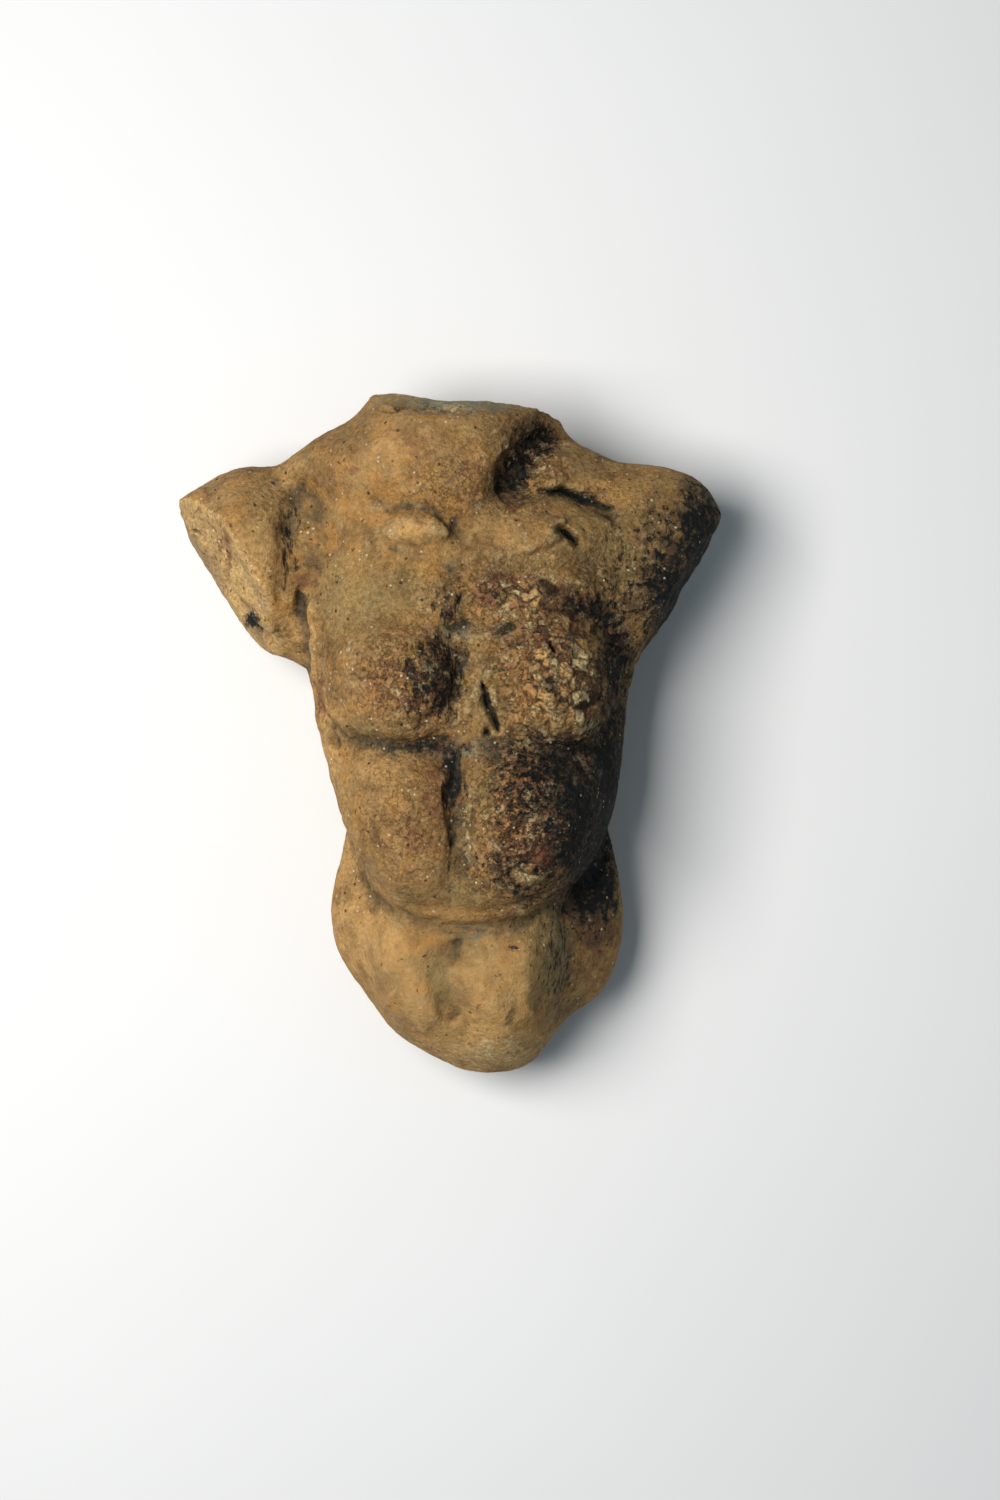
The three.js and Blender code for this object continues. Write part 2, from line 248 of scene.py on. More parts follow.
# %% Cuts and ridges
CUTS = {
    "line down the belly": ([(1.7, -1.8), (1.4, -4.4), (0.9, -7.4), (1.3, -10.5), (1, -13)], 1.5, 0.7),
    "rim under the left breast": (
        [(-14, 2), (-10.4, -0.2), (-6, -1), (-2.3, -0.8), (0.6, 0.2)], 1.4, 0.5
    ),
    "inner edge of the left breast": (
        [(2.4, 12), (2.2, 9), (0.9, 5.3), (-0.7, 3.1), (-3.2, 1.5)], 1.6, 0.5
    ),
    "cut beside the stomach pit": ([(4.5, 6.6), (5.4, 3.7), (6.6, 1)], 1.2, 1.5),
    "left armpit": ([(-18, 31.5), (-19.4, 29.5), (-19.7, 26.4), (-19.6, 23.4), (-20.5, 17)], 2.2, 0.45),
    "slit over the collar bone": ([(11.6, 30.4), (14.6, 30.6), (16.4, 30.2), (20.4, 28.6)], 0.9, 1.6),
    "hollow beside the neck": ([(13, 38), (10.4, 36.4), (8.7, 34.4), (6.6, 30.6)], 2.4, 1.4),
    "under the right collar bone": ([(10.2, 22.5), (12.3, 22.8), (14.4, 24)], 0.9, 0.5),
    "over the collar lump": ([(-7.2, 27.9), (-4.1, 28.5), (-1.5, 27.6), (0.2, 26.4)], 1.6, 0.35),
    "under the collar lump": (
        [(-6.8, 23.4), (-3.5, 22.6), (-0.5, 23), (1.1, 24.2), (1.3, 26.6)], 1.7, 0.45
    ),
    "groin fold": ([(1.6, -25.4), (-0.5, -27.7), (-1.1, -30.2), (-0.6, -32.4), (1, -35)], 3.0, 0.9),
    "beside the right thigh": ([(12, -23), (12.6, -28), (11.8, -34)], 3.0, 0.8),
    "crease beside the chest": (
        [(-18.2, 18), (-17.8, 12), (-17.2, 7), (-15.4, 2.6), (-13.4, -0.6)], 1.6, 1.3
    ),
    "edge of the left flank": (
        [(-15.6, 2), (-15, -3.2), (-13.6, -9), (-12, -14), (-9.8, -19)], 1.4, 0.8
    ),
    "inner edge of the right breast": ([(9.3, 12.8), (9.9, 8.6), (11, 4.7), (13, 0.4)], 1.3, 0.8),
    "under the right breast": (
        [(8.2, -0.6), (12.2, -1.6), (15.2, -1.6), (18.2, -0.4), (20.8, 3)], 1.5, 0.5
    ),
    "breast shelf": ([(0.6, 13.8), (4.9, 13.5), (10, 13.6)], 1.4, 0.6),
    "lower edge of the belly blocks": (
        [(-9.8, -19.6), (-3, -23), (5, -23.6), (11, -22.2), (16.2, -18.2)], 1.8, 0.35
    ),
    "groove in the left break": ([(-32, 26.4), (-28.2, 20), (-22.2, 12.2)], 1.2, 1.6),
    "hollow in the left break": ([(-24.6, 15.4), (-24.1, 14.2)], 1.3, 0.9),
    "crack in the neck break": ([(-7.7, 40.2), (-4.9, 40.9), (-2, 41.2), (1.6, 40.6)], 0.8, 0.9),
}
RIDGES = {
    "lump of the left collar bone": ([(-7, 25.2), (-3.6, 25.9), (-0.2, 25.2)], 2.7, 1.1),
    "lump of the right collar bone": ([(9.6, 23.2), (12.4, 24.4), (14.6, 26.4)], 1.5, 0.55),
    "ledge on the left break": ([(-31, 28.4), (-26.6, 20.8), (-21.4, 14)], 1.2, 1.2),
    "ridge of the right collar bone": ([(9.4, 28.2), (13, 28.7), (16.4, 28), (20.4, 26.4)], 1.5, 0.5),
    "edge of the stomach pit": ([(4.4, 6.8), (3.2, 4.2), (0.8, 1.6)], 1.2, 0.6),
    "lower lip of the belly blocks": (
        [(-8.4, -18.4), (-2.8, -21.6), (5, -22.2), (10.6, -20.8), (15, -17)], 1.2, 0.3
    ),
    "seam between chest and flank": (
        [(-16.4, 17), (-16.1, 9.5), (-15.3, 6.5), (-13.2, 3.2), (-11.4, 0.4)], 1.2, 0.8
    ),
    "front of the left flank": ([(-14.2, 1), (-13.4, -4), (-12, -9.4), (-10.4, -14.4)], 1.3, 0.6),
    "flake across the right breast": ([(11.3, 12.3), (13, 9.7), (14, 6.8)], 0.7, 0.45),
    "flake beside it": ([(18.8, 11.9), (17.4, 10.1), (16.2, 8.5)], 0.6, 0.35),
    "plate over the right breast": (
        [(10.1, 18.4), (12.2, 19.5), (15.2, 19.9), (17.4, 18.9)], 0.7, 0.35
    ),
    "fold on the left hip": ([(-5.9, -30.6), (-7, -32.4), (-7.9, -34.2)], 0.8, 0.4),
    "bulge of the groin": ([(2.4, -28.6), (4.4, -31.4), (7, -34.4)], 4.2, 0.8),
    "left thigh": ([(-6.6, -28), (-4.4, -32), (-2.4, -36)], 4.0, 0.5),
    "curl on the right groin": ([(5.3, -32.5), (6.5, -32.8), (7.6, -33.7), (8.3, -33.2)], 0.6, 0.25),
    "lower lip of the shelf": ([(0.9, 12.3), (4.9, 12.1), (9.4, 12.1)], 1.0, 0.5),
    "plate of the right breast": ([(10.8, 12), (11.3, 8.6), (12.4, 4.8), (14, 1.6)], 1.1, 0.45),
}

DEEPEN = 1.2
FURROW_TURNS = 160
FURROW_MOST = 0.8
deepened = DEEPEN * np.clip(sunk_below(FURROW_TURNS, 1.0), 0, FURROW_MOST)
press("furrow_dirt_and_shade", deepened * facing_up())
print("furrows deepened by up to", round(float(deepened.max()), 2), "mm")

depths = np.zeros(len(torso.data.vertices))
for path, half, depth in CUTS.values():
    depths = np.maximum(depths, depth * stroke(path, half))
for path, half, height in RIDGES.values():
    depths = depths - height * stroke(path, half)
press("strokes", depths * facing_up())
print("strokes:", len(CUTS), "cuts and", len(RIDGES), "ridges")

# %% [markdown]
# Small air holes and lost grains leave deep round pits in fired clay. Each is a short stroke, so a pit
# can be longer than it is wide.

# %% Pits
PITS = {
    "hole in the collar bone": ([(14.2, 25.5), (15.2, 24.8), (15.9, 24.3)], 1.05, 2.6),
    "hole at the stomach pit": ([(5.3, 0.7), (5.4, 0.5)], 0.75, 1.6),
    "slit in the groin": ([(8.2, -25.8), (9.2, -25.8)], 0.45, 0.9),
    "red hole in the right breast": ([(12.7, 11.2), (13.3, 10.2)], 0.6, 0.8),
    "hole in the armpit": ([(-18.7, 21), (-18.7, 20.8)], 0.4, 0.6),
    "hole under the left breast": ([(-5.2, 1.7), (-5.1, 1.7)], 0.4, 0.5),
    "hole on the left breast": ([(-9.3, 2.6), (-9.2, 2.6)], 0.4, 0.4),
}
depths = np.zeros(len(torso.data.vertices))
for path, half, depth in PITS.values():
    depths = np.maximum(depths, depth * stroke(path, half, pointed=False))
press("pits", depths * facing_up(), direction="Z")
print("pits:", len(PITS))

# %% [markdown]
# The skin of the clay is worn and grainy, and it flakes where the figure was scorched. Procedural
# textures in Displace modifiers give that without any drawing: soft clouds for wear, and sharper ones for
# the flaking, held to the scorched places by patches. The textures use the piece's own coordinates, so
# they stay on it.

# %% Worn and flaking skin
SCORCHED = [
    (14, 9, 6.5, 9, 1), (10, -9, 5, 8, 0.75), (10, 17, 9, 3.5, 0.7), (-3, 7, 6, 6, 0.6),
    (9, -16, 5, 4, 0.7), (20, 18, 6, 8, 0.4), (4, 31, 7, 3, 0.5), (-4, -9, 6, 9, 0.3),
    (10, 34.6, 4, 4.4, 0.9),
]
REST_BAND = 1.5
WEAR_DEPTH = 0.4
GRAIN_DEPTH = 0.16
FLAKE_DEPTH = 1.1


def texture(name, kind, size, **settings):
    """A procedural texture with features of this size in millimetres."""
    made = bpy.data.textures.new(name, kind)
    made.noise_scale = size * MM
    for key, value in settings.items():
        setattr(made, key, value)
    return made


everywhere = np.clip(skin()[0][:, 2] / REST_BAND, 0, 1)
flaked = patches(SCORCHED)
press("wear", WEAR_DEPTH * everywhere, texture("wear", "CLOUDS", 3.6, noise_depth=3))
grain_clouds = texture("grain", "CLOUDS", 1.0, noise_depth=3, noise_type="HARD_NOISE")
press("grain", GRAIN_DEPTH * everywhere, grain_clouds)
flake_clouds = texture("flakes", "CLOUDS", 2.0, noise_depth=5, noise_type="HARD_NOISE")
press("flakes", FLAKE_DEPTH * flaked, flake_clouds)
print("worn skin on", len(everywhere), "vertices")

# %% [markdown]
# The breaks at the neck and the arms show the rough inside of the clay. A broken face is flat in the
# solid, so we find its vertices by their distance from that plane and roughen only those. The planes are
# those of the solid's drawing, so we first undo the shift that centred it. Some breaks are paler than
# others, and that is kept for the material.

# %% Rough breaks
BREAKS = {
    "neck, front": ((2, 41.1, 27), (0.06, 0.95, 0.3), 0.5),
    "neck, behind": ((0, 42.9, 16), (0.125, 0.98, -0.12), 0.5),
    "left arm, front": ((-27.9, 21.4, 15.5), (-0.83, -0.475, 0.3), 1),
    "left arm, behind": ((-29, 20.2, 11), (-0.86, -0.49, 0.14), 1),
    "right arm": ((30.4, 21, 15), (0.855, -0.518, 0.1), 0.3),
}
BREAK_REACH = 17
PLANE_REACH = 1.6
LEAST_TURNED = 0.55
TURN_FADE = 0.2
FRACTURE_DEPTH = 1.1
CENTRE_OF_SOLID = np.array((0.24, 0.83, 0.0))
places, normals = skin()
broken = np.zeros(len(places))
pale = np.zeros(len(places))
for middle, facing, paleness in BREAKS.values():
    outward = np.array(facing) / np.linalg.norm(facing)
    offset = places + CENTRE_OF_SOLID - np.array(middle)
    near_plane = np.clip(PLANE_REACH - np.abs(offset @ outward), 0, 1)
    near_middle = np.clip(BREAK_REACH - np.linalg.norm(offset, axis=1), 0, 1)
    same_way = np.clip((normals @ outward - LEAST_TURNED) / TURN_FADE, 0, 1)
    here = near_plane * near_middle * same_way
    broken = np.maximum(broken, here)
    pale = np.maximum(pale, paleness * here)
press("fracture", FRACTURE_DEPTH * broken, texture("fracture", "CLOUDS", 6.5, noise_depth=4))
print("broken skin:", int((broken > 0.5).sum()), "vertices")

# %% [markdown]
# Hollows hold dirt and painted shade, and edges are rubbed bare. To find them we smooth a copy of the
# finished skin: where the real skin lies below the smooth one there is a hollow, and where it stands
# above there is an edge. A light smoothing finds fine hollows, and a strong one finds furrows and
# swelling muscles. The material darkens hollows and furrows with dirt and painted shade, and lightens
# swelling muscles with a painted highlight. We also lay out the stains of this figurine as soft patches,
# with soot that also paints shade down the right side and beside the neck, the places where the crust
# lies in plates, the calm places where the clay is smooth, and the pits and slits that are painted black
# as shade. All of it is kept in attributes for the material.

# %% Hollows, edges and stains
STAINS = {
    # soot, part of it painted shade: down the right flank, hip and shoulder break, in the hollow beside
    # the neck and along the slit over the collar bone
    "soot_and_shade": [
        (14, -5, 6, 5, 0.95), (16.5, -11, 5, 6, 1), (10.5, -15.5, 4, 3.6, 0.75), (20.5, -6, 3.2, 10, 1),
        (20.4, 10, 2.4, 7, 0.8), (12.4, 9, 0.8, 3, 0.7), (16.8, 11, 1.2, 2.4, 0.85),
        (17, 15.5, 4.5, 2, 0.85), (15, -1.4, 7, 1.4, 0.8), (32, 25, 2.6, 6, 0.95), (30, 17, 5, 8, 0.9),
        (18.5, -17, 3, 6, 0.95), (11.7, 37.2, 1.8, 1.7, 1), (10.5, 35.4, 1.5, 1.7, 1),
        (9.2, 33.6, 1.3, 1.5, 1), (8, 31.6, 1.6, 1, 0.8), (-24.3, 14.8, 1.1, 1, 0.9),
        (-2, -0.9, 4, 0.9, 0.6), (15.5, 30.2, 3.6, 0.8, 0.6),
    ],
    "smear": [
        (-2.6, 7, 2.4, 4.6, 0.8), (-0.2, 7.6, 2.2, 5, 0.95), (0.7, 16, 2, 2.2, 0.65),
        (0.8, -4.6, 1.2, 3.6, 0.9), (0.6, -12, 1.1, 4.5, 0.4), (-19.5, 25, 1.1, 6, 0.6),
        (12, 17, 5, 2, 0.4), (26, 21, 4, 6, 0.35), (21, 23, 3, 3, 0.35), (14, -28, 2.4, 7, 0.5),
    ],
    "rust": [
        (-8, 8, 4, 4.6, 0.6), (-4, 4.2, 4.4, 2.2, 0.7), (12.4, 11, 3, 4.4, 0.8),
        (7.5, 17.7, 4.5, 2, 0.7), (9, -12, 4, 6, 0.8), (11, -7, 3, 3, 0.6), (12, -19.5, 3.5, 2, 0.6),
        (-1.2, -7, 2.2, 4.5, 0.65), (-3, -13, 4, 3.5, 0.6), (-8, -12, 3, 4, 0.45),
        (-6, 12.6, 5, 2, 0.4), (-15.8, 4.6, 1.1, 3, 0.75), (-17.4, 18.6, 1.6, 3, 0.5),
        (-12, 33.7, 3, 2.6, 0.45), (-4, 36, 4, 3, 0.4), (7.5, 28.6, 5, 1.4, 0.45),
        (3, 32.5, 4, 2.6, 0.5), (-27.5, 25, 1.2, 4, 0.6), (18, -26, 3, 6, 0.6),
        (13.6, 33.6, 1.6, 2, 0.5), (13, 10.4, 1, 1.4, 1),
    ],
    "ochre": [
        (-6.5, -3, 4.5, 2.4, 0.8), (-5, -9, 5, 3.5, 0.5), (-11, -24, 6, 7, 0.9), (-17, -24, 4, 9, 1),
        (-25, 20, 6, 8, 0.6), (-16.4, -3, 2.4, 10, 1), (-18.6, 11, 2, 6, 1),
        (-3.5, 25.7, 3.6, 1.8, 0.75), (-5, 35, 5.5, 4, 0.55), (-11, 28, 5, 4, 0.45),
        (6, -28, 6, 6, 0.55), (4, -38.5, 8, 4, 1), (11, 28.6, 6, 1.6, 0.5), (-13, -16, 2.2, 6, 0.8),
        (14, 5, 5, 4, 0.75), (17.4, 8, 2.6, 4, 0.6), (-28, 18, 3, 6, 0.8),
    ],
    "cream": [
        (5.5, 4.6, 4, 4, 0.45), (3, -11.5, 0.8, 5.5, 0.6), (14.4, 7, 2.4, 3.4, 0.5),
        (7.7, 15.5, 1.4, 2, 0.75), (18.4, 8, 1, 2, 0.7), (17.6, 1.4, 1.4, 1, 0.75),
        # The patch at (6, -39.4) is a painted highlight on the tip of the belly, which faces away from
        # the lamp.
        (0, 40.6, 6, 1, 0.6), (6, -39.4, 7, 2.6, 0.65), (-11.5, 9.2, 0.5, 2.8, 0.75),
        (9, -15.4, 2, 0.7, 0.6), (6.8, 18.6, 2.4, 0.8, 0.65), (14, 19.4, 4, 0.8, 0.6),
        (-16.4, 12, 0.7, 6, 0.45), (1.8, 9, 0.8, 4, 0.5),
    ],
    "moss": [
        (5.5, -1.2, 6, 1.7, 0.65), (-1.5, 22, 5, 1.4, 0.45), (1.5, 13, 4.5, 1.1, 0.75),
        (7, 13, 4, 1, 0.7), (3, 42, 10, 2, 0.95), (4.3, 28.8, 6, 1.2, 0.4), (3.5, -23.6, 3, 1.6, 0.6),
        (14, -25, 2.2, 8, 0.55), (-9.8, -25.5, 1.3, 1.3, 0.5), (2.4, -10, 1.4, 9, 0.5),
        (4, 8, 3, 4, 0.4),
    ],
    "olive": [
        (-9, 17, 7, 5, 0.8), (-9, 1, 6, 2, 0.7), (5, -7, 3, 6, 0.7), (4, 6, 3, 5, 0.7),
        (7.4, 35.4, 2, 2.4, 0.8), (20, 24, 7, 3, 0.7), (24, 27, 5, 4, 0.6), (22, 20, 5, 6, 0.9),
        (4, -26, 4, 4, 0.6), (12, -27, 4, 6, 0.8), (-9, -14, 3, 6, 0.5), (6, 20.6, 5, 2, 0.6),
        (-22, 26, 3, 6, 0.5), (-0.9, -30.4, 1.4, 3, 1), (0, -19, 8, 2.6, 0.5),
    ],
}
PLATED = [(14.6, 8, 4.6, 6.4, 0.9), (9, 17.6, 6, 2.2, 0.75), (10.6, -15, 3, 3, 0.6)]
CALM = [(0, -30, 16, 9, 1), (-5, 35, 7, 4, 0.6), (-12, 27, 8, 4, 0.5)]
# cuts that are painted black as shade, like the pits
SLITS = ["slit over the collar bone", "cut beside the stomach pit"]
SHADE_SHARE = 0.8
FINE_TURNS = 30
FINE_DEPTH = 0.35
BROAD_TURNS = 300
BROAD_DEPTH = 0.6


def keep(name, values):
    """Stores one number per vertex on the torso, for the material."""
    attribute = torso.data.attributes.new(name, "FLOAT", "POINT")
    attribute.data.foreach_set("value", np.clip(values, 0, 1).astype(np.float32))
    print(name, "covers", round(float((values > 0.5).mean()) * 100, 1), "% of the vertices")


fine = sunk_below(FINE_TURNS, FINE_DEPTH)
broad = sunk_below(BROAD_TURNS, BROAD_DEPTH)
keep("hollow", fine)
keep("edge", -fine)
keep("furrow", broad)
keep("swell", -broad)
keep("broken", pale)
keep("flaked", patches(SCORCHED))
keep("calm", patches(CALM))
keep("plated", patches(PLATED))
for name, rows in STAINS.items():
    keep(name, patches(rows))
# painted shade in the pits and slits
shade = np.zeros(len(torso.data.vertices))
for path, half, _ in list(PITS.values()) + [CUTS[name] for name in SLITS]:
    shade = np.maximum(shade, stroke(path, SHADE_SHARE * half))
keep("painted_slit_shade", shade * facing_up())

# %% [markdown]
# The clay is an orange tan under stains of ochre, rust, olive and grey-green dirt, soot and cream. Each
# stain is laid over the one before by an attribute, and noise frays its edge so that no ellipse shows.
# Part of this is painted light: the dirt in hollows and furrows and the soot on the right side and beside
# the neck are also painted shade, the pits and slits are painted black as shade, and the swelling muscles
# and the tip of the belly get a painted highlight. Where the skin flakes, a noise with hard steps makes
# scorched plates, and clusters of red and cream crust lie on them. On and above the right breast and on
# the right of the belly, cells with wandering edges break the crust into single plates with a tone each.
# Fine noise in the bump gives the sandy grain, and small cells give the pale grains of temper, which also
# stand for painted glints, and the dark pinholes.

# %% The clay's material
clay = bpy.data.materials.new("terracotta")
clay.use_nodes = True
tree = clay.node_tree
shader = tree.nodes["Principled BSDF"]
where = tree.nodes.new("ShaderNodeTexCoord").outputs["Object"]


def add(kind, inputs=None, **settings):
    """Adds a shader node, with its settings and its constant or linked inputs."""
    made = tree.nodes.new(kind)
    for key, value in settings.items():
        setattr(made, key, value)
    for key, value in (inputs or {}).items():
        if isinstance(value, bpy.types.NodeSocket):
            tree.links.new(value, made.inputs[key])
        else:
            made.inputs[key].default_value = value
    return made


def noise(size, detail=4.0, rough=0.6, twist=0.0, place=None):
    """Noise with features of this size in millimetres."""
    inputs = {"Vector": place or where, "Scale": 1 / (size * MM)}
    inputs.update({"Detail": detail, "Roughness": rough, "Distortion": twist})
    return add("ShaderNodeTexNoise", inputs).outputs["Fac"]


def ramp(value, low, high):
    """0 below low, 1 above high, smooth between."""
    inputs = {"Value": value, "From Min": low, "From Max": high}
    return add("ShaderNodeMapRange", inputs, interpolation_type="SMOOTHSTEP").outputs["Result"]


def maths(operation, a, b):
    """The result of one step of arithmetic on two values."""
    return add("ShaderNodeMath", {0: a, 1: b}, operation=operation).outputs["Value"]


def mix(share, under, over):
    """One colour laid over another by a share from 0 to 1."""
    made = add("ShaderNodeMix", {"Factor": share}, data_type="RGBA")
    for socket, value in ((made.inputs[6], under), (made.inputs[7], over)):
        if isinstance(value, bpy.types.NodeSocket):
            tree.links.new(value, socket)
        else:
            socket.default_value = (*value, 1)
    return made.outputs[2]


def held(name):
    """A number that is stored on the torso's vertices."""
    return add("ShaderNodeAttribute", attribute_name=name).outputs["Fac"]


def stretched(x, y, z):
    """The piece's coordinates drawn out along one of its axes."""
    return add("ShaderNodeMapping", {"Vector": where, "Scale": (x, y, z)}).outputs["Vector"]


def shards(size, wander):
    """A random tone for each broken plate of this size in millimetres, and the gaps between plates."""
    clouds = add("ShaderNodeTexNoise", {"Vector": where, "Scale": 1 / (size * MM), "Detail": 5.0})
    inputs = {0: clouds.outputs["Color"], "Scale": wander * MM}
    drift = add("ShaderNodeVectorMath", inputs, operation="SCALE").outputs["Vector"]
    place = add("ShaderNodeVectorMath", {0: where, 1: drift}, operation="ADD").outputs["Vector"]
    inputs = {"Vector": place, "Scale": 1 / (size * MM)}
    cells = add("ShaderNodeTexVoronoi", inputs).outputs["Color"]
    tone = add("ShaderNodeSeparateColor", {"Color": cells}).outputs["Red"]
    edge = add("ShaderNodeTexVoronoi", inputs, feature="DISTANCE_TO_EDGE").outputs["Distance"]
    return tone, ramp(edge, 0.12, 0.03)


def frayed(name, size, fray, low, high, place=None):
    """A stain's attribute with its edge frayed by noise."""
    shaken = maths("MULTIPLY_ADD", noise(size, 6.0, 0.7, 0.0, place), fray)
    shaken.node.inputs[2].default_value = -0.5 * fray
    return ramp(maths("ADD", held(name), shaken), low, high)


TAN = (0.36, 0.222, 0.088)
BROWN = (0.17, 0.095, 0.037)
ORANGE = (0.42, 0.21, 0.06)
SAND = (0.43, 0.32, 0.16)
OCHRE = (0.54, 0.318, 0.12)
RUST = (0.165, 0.066, 0.036)
CREAM = (0.60, 0.47, 0.25)
MOSS = (0.235, 0.225, 0.145)
# The soot colour is also the black of painted shade, and the dirt colour also paints shade in hollows and
# furrows.
SOOT_AND_SHADE = (0.009, 0.013, 0.014)
DIRT_AND_SHADE = (0.05, 0.046, 0.032)
FRESH = (0.56, 0.37, 0.155)
ASH = (0.33, 0.23, 0.13)
OLIVE = (0.215, 0.165, 0.07)
BURNT = (0.07, 0.05, 0.032)
FLECK = (0.06, 0.036, 0.02)
SCALE = (0.36, 0.19, 0.075)
EMBER = (0.24, 0.105, 0.05)
TEMPER = (0.68, 0.62, 0.45)
PINHOLE = (0.04, 0.03, 0.022)
PLATE_TONES = [
    (0.45, 0.5, SCALE), (0.7, 0.74, OCHRE), (0.88, 0.9, CREAM), (0.4, 0.36, RUST), (0.18, 0.14, SOOT_AND_SHADE),
]
BUMP_DEPTH = 0.42
LEAST_ROUGH = 0.55
ROUGH_SPREAD = 0.3
CLAY_SHINE = 0.06
GRAIN_SHINE = 0.5

mottled = maths("MULTIPLY", ramp(noise(6.0, 8.0, 0.7), 0.38, 0.62), ramp(held("calm"), 1.6, 0.2))
colour = mix(mottled, TAN, BROWN)
colour = mix(maths("MULTIPLY", ramp(noise(4.0, 8.0, 0.7), 0.46, 0.62), 0.8), colour, ORANGE)
colour = mix(maths("MULTIPLY", ramp(noise(1.8, 6.0, 0.7), 0.52, 0.7), 0.6), colour, SAND)
colour = mix(maths("MULTIPLY", ramp(noise(1.1, 8.0, 0.78), 0.56, 0.66), 0.42), colour, FLECK)
colour = mix(maths("MULTIPLY", frayed("ochre", 2.6, 2.4, 0.3, 1.0), 0.8), colour, OCHRE)
layers = noise(2.2, 6.0, 0.5, 0.0, stretched(0.15, 0.15, 1.0))
inside = mix(ramp(layers, 0.45, 0.65), FRESH, ASH)
colour = mix(maths("MULTIPLY", frayed("broken", 2.4, 1.6, 0.35, 0.95), 0.85), colour, inside)
colour = mix(maths("MULTIPLY", frayed("rust", 1.8, 2.8, 0.25, 0.8), 0.9), colour, RUST)
colour = mix(maths("MULTIPLY", frayed("olive", 2.0, 1.8, 0.2, 1.0), 0.7), colour, OLIVE)
colour = mix(frayed("moss", 1.4, 2.0, 0.35, 0.95), colour, MOSS)
# painted highlight: the swelling muscles are lightened with ochre
colour = mix(maths("MULTIPLY", held("swell"), 0.3), colour, OCHRE)
# dirt and painted shade in the broad furrows between the muscles
furrow_dirt_and_shade = maths("MULTIPLY", frayed("furrow", 1.4, 1.4, 0.2, 1.0), ramp(held("calm"), 1.8, 0.2))
colour = mix(maths("MULTIPLY", furrow_dirt_and_shade, 0.7), colour, DIRT_AND_SHADE)
# soot, with painted shade down the right side and beside the neck
colour = mix(maths("MULTIPLY", frayed("soot_and_shade", 2.4, 1.8, 0.1, 0.65), 0.85), colour, BURNT)
plates = noise(1.5, 10.0, 0.72)
colour = mix(maths("MULTIPLY", held("flaked"), ramp(plates, 0.52, 0.56)), colour, SCALE)
colour = mix(maths("MULTIPLY", held("flaked"), ramp(plates, 0.45, 0.41)), colour, SOOT_AND_SHADE)
# more soot and painted shade, in black
colour = mix(maths("MULTIPLY", frayed("soot_and_shade", 1.0, 3.4, 0.3, 0.7), 0.95), colour, SOOT_AND_SHADE)
streaks = frayed("smear", 0.7, 2.6, 0.3, 0.75, stretched(1.0, 0.28, 1.0))
colour = mix(maths("MULTIPLY", streaks, 0.95), colour, SOOT_AND_SHADE)
clusters = maths("MULTIPLY", held("flaked"), ramp(noise(5.0, 3.0, 0.6), 0.4, 0.6))
embers = maths("MULTIPLY", clusters, ramp(noise(1.1, 10.0, 0.72), 0.5, 0.54))
colour = mix(maths("MULTIPLY", embers, 0.85), colour, EMBER)
crust = maths("MULTIPLY", clusters, ramp(noise(1.6, 10.0, 0.72), 0.55, 0.58))
colour = mix(maths("MULTIPLY", crust, 0.85), colour, CREAM)
plate, gap = shards(2.0, 2.4)
plated = ramp(held("plated"), 0.3, 0.6)
for low, high, tone in PLATE_TONES:
    chosen = maths("MULTIPLY", plated, ramp(plate, low, high))
    colour = mix(maths("MULTIPLY", chosen, 0.75), colour, tone)
colour = mix(maths("MULTIPLY", maths("MULTIPLY", plated, gap), 0.8), colour, BURNT)
colour = mix(maths("MULTIPLY", frayed("cream", 0.9, 2.8, 0.45, 1.0), 0.85), colour, CREAM)
# dirt and painted shade in the fine hollows and cuts
colour = mix(maths("MULTIPLY", frayed("hollow", 0.7, 1.0, 0.25, 0.9), 0.7), colour, DIRT_AND_SHADE)
colour = mix(maths("MULTIPLY", frayed("edge", 0.7, 1.0, 0.3, 1.0), 0.45), colour, SAND)
# painted shade: the pits and slits are painted black
colour = mix(maths("MULTIPLY", frayed("painted_slit_shade", 0.5, 1.4, 0.3, 0.75), 0.95), colour, SOOT_AND_SHADE)


def scattered(size, channel, rare, radius):
    """Small round spots, in the rarer cells of a pattern with cells of this size in millimetres."""
    cells = add("ShaderNodeTexVoronoi", {"Vector": where, "Scale": 1 / (size * MM)})
    chance = add("ShaderNodeSeparateColor", {"Color": cells.outputs["Color"]}).outputs[channel]
    spot = ramp(cells.outputs["Distance"], *radius)
    return maths("MULTIPLY", spot, ramp(chance, *rare))


# pale grains of temper, which also stand for painted glints
grain = scattered(0.75, "Red", (0.76, 0.8), (0.27, 0.13))
grain = maths("MULTIPLY", grain, ramp(noise(3.0, 3.0, 0.6), 0.4, 0.62))
grain = maths("MULTIPLY", grain, ramp(held("calm"), 1.0, 0.4))
colour = mix(maths("MULTIPLY", grain, 0.85), colour, TEMPER)
pin = scattered(1.1, "Green", (0.87, 0.9), (0.22, 0.12))
pin = maths("MULTIPLY", pin, ramp(held("calm"), 1.0, 0.3))
colour = mix(maths("MULTIPLY", pin, 0.8), colour, PINHOLE)
speck = mix(ramp(noise(0.55, 6.0, 0.8), 0.34, 0.66), (0.64, 0.62, 0.59), (1.36, 1.36, 1.34))
speck = mix(maths("MULTIPLY", held("calm"), 0.8), speck, (1.06, 1.06, 1.06))
made = add("ShaderNodeMix", {"Factor": 1.0}, data_type="RGBA", blend_type="MULTIPLY")
tree.links.new(colour, made.inputs[6])
tree.links.new(speck, made.inputs[7])
tree.links.new(made.outputs[2], shader.inputs["Base Color"])

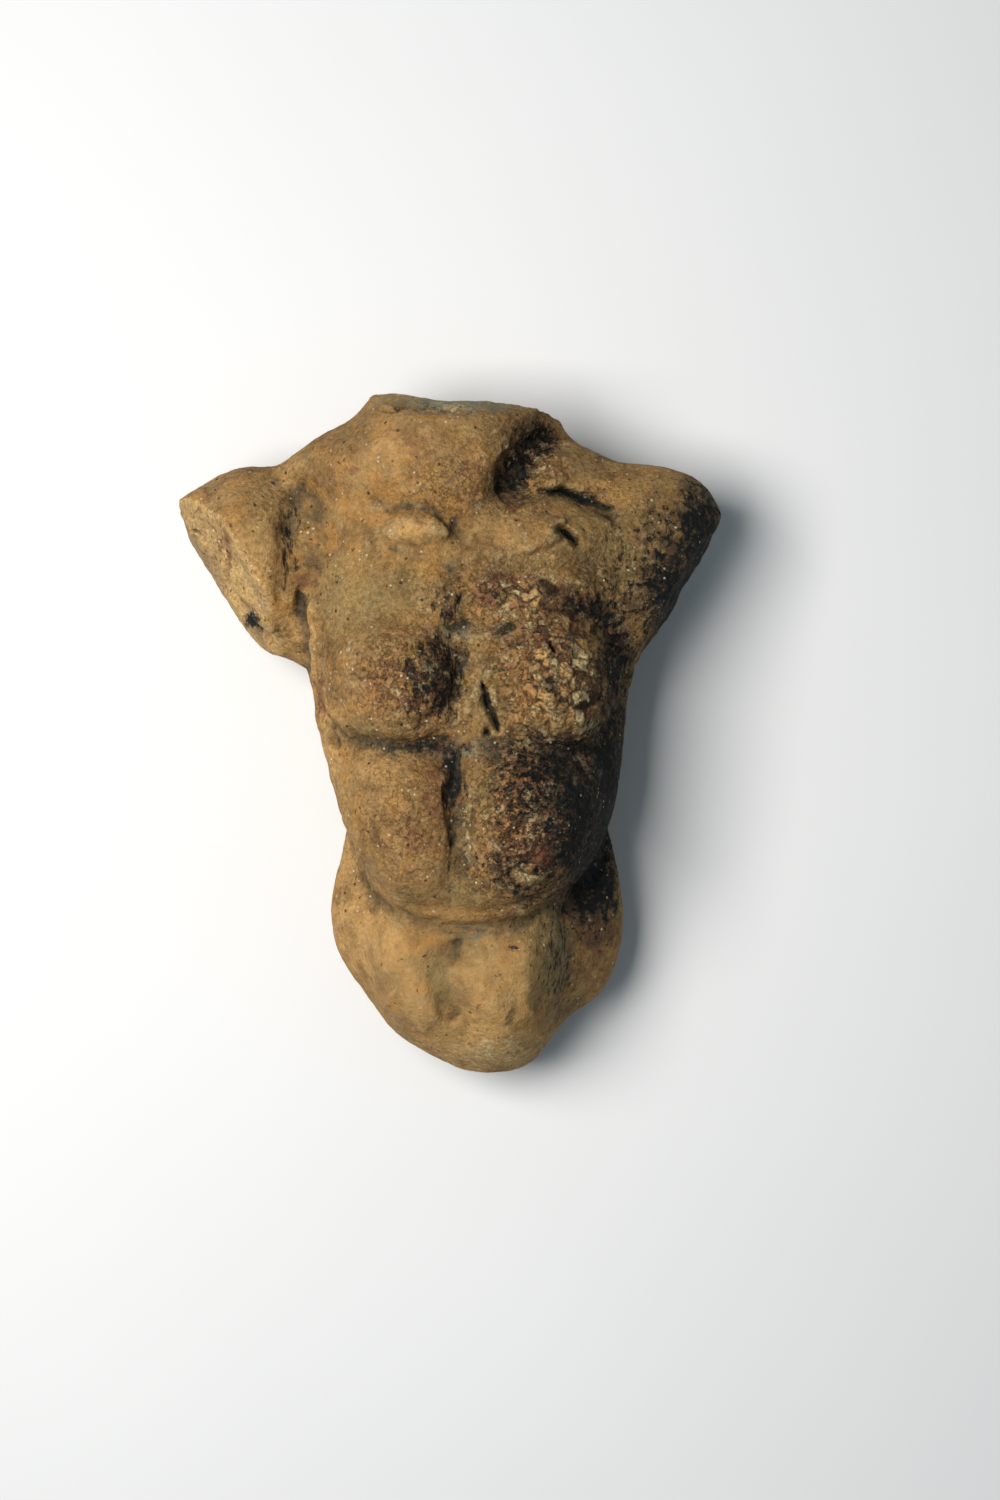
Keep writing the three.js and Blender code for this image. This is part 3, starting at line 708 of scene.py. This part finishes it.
sandy = maths("ADD", maths("MULTIPLY", noise(0.45, 5.0, 0.75), 0.6), noise(1.1, 6.0, 0.7))
sandy = maths("SUBTRACT", sandy, maths("MULTIPLY", pin, 0.6))
sheets = maths("MULTIPLY", held("flaked"), ramp(plates, 0.46, 0.54))
sandy = maths("ADD", sandy, maths("MULTIPLY", sheets, 1.2))
sandy = maths("ADD", sandy, maths("MULTIPLY", maths("MULTIPLY", plated, plate), 1.4))
bump = add("ShaderNodeBump", {"Height": sandy, "Strength": 1.0, "Distance": BUMP_DEPTH * MM})
tree.links.new(bump.outputs["Normal"], shader.inputs["Normal"])
rough = maths("MULTIPLY_ADD", ramp(noise(1.5, 4.0, 0.6), 0.25, 0.75), ROUGH_SPREAD)
rough.node.inputs[2].default_value = LEAST_ROUGH
tree.links.new(rough, shader.inputs["Roughness"])
shine = maths("MULTIPLY_ADD", grain, GRAIN_SHINE)
shine.node.inputs[2].default_value = CLAY_SHINE
tree.links.new(shine, shader.inputs["Specular IOR Level"])
torso.data.materials.clear()
torso.data.materials.append(clay)
only(torso)
bpy.ops.object.shade_smooth()
print("clay material:", len(tree.nodes), "nodes")

# %% [markdown]
# The photo was taken from straight above, on white paper, in soft light from the left. One broad lamp
# stands for that light, and a cool fill comes from all round. The camera's height and lens are fitted to
# the outline in the photo.

# %% Paper, light and camera
CAMERA_AT = (6.55 * MM, -1.75 * MM, 420 * MM)
LENS = 76.75
WINDOW_AT = (-0.136, 0.024, 0.32)
WINDOW_SIZE = 0.18
WINDOW_POWER = 1.54
ROOM_TINT = (0.64, 0.85, 1.0, 1)
ROOM_STRENGTH = 0.22

bpy.ops.mesh.primitive_plane_add(size=2.4)
paper = bpy.context.object
paper.name = "paper"
sheet = bpy.data.materials.new("paper")
sheet.use_nodes = True
tree = sheet.node_tree
where = tree.nodes.new("ShaderNodeTexCoord").outputs["Object"]
white = mix(noise(40.0, 3.0, 0.5), (0.745, 0.74, 0.735), (0.77, 0.765, 0.76))
tree.links.new(white, tree.nodes["Principled BSDF"].inputs["Base Color"])
tree.nodes["Principled BSDF"].inputs["Roughness"].default_value = 0.9
paper.data.materials.append(sheet)


def window(name, place, size, power, tint):
    """A square area light that looks at the torso."""
    bpy.ops.object.light_add(type="AREA", location=place)
    lamp = bpy.context.object
    lamp.name = name
    lamp.data.size = size
    lamp.data.energy = power
    lamp.data.color = tint
    lamp.rotation_euler = (Vector((0, 0, 0.015)) - Vector(place)).to_track_quat("-Z", "Y").to_euler()


window("window_light", WINDOW_AT, WINDOW_SIZE, WINDOW_POWER, (1.0, 0.975, 0.94))
world = bpy.data.worlds.new("room")
bpy.context.scene.world = world
world.use_nodes = True
world.node_tree.nodes["Background"].inputs["Color"].default_value = ROOM_TINT
world.node_tree.nodes["Background"].inputs["Strength"].default_value = ROOM_STRENGTH

bpy.ops.object.camera_add(location=CAMERA_AT, rotation=(0, 0, 0))
camera = bpy.context.object
camera.data.sensor_fit = "VERTICAL"
camera.data.sensor_height = 36
camera.data.lens = LENS
camera.data.clip_start = 0.01
bpy.context.scene.camera = camera
bpy.context.scene.view_settings.view_transform = "Standard"
bpy.context.scene.view_settings.look = "None"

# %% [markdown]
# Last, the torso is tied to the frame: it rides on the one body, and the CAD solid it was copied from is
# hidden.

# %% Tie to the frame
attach(torso, "root")
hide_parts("torso")
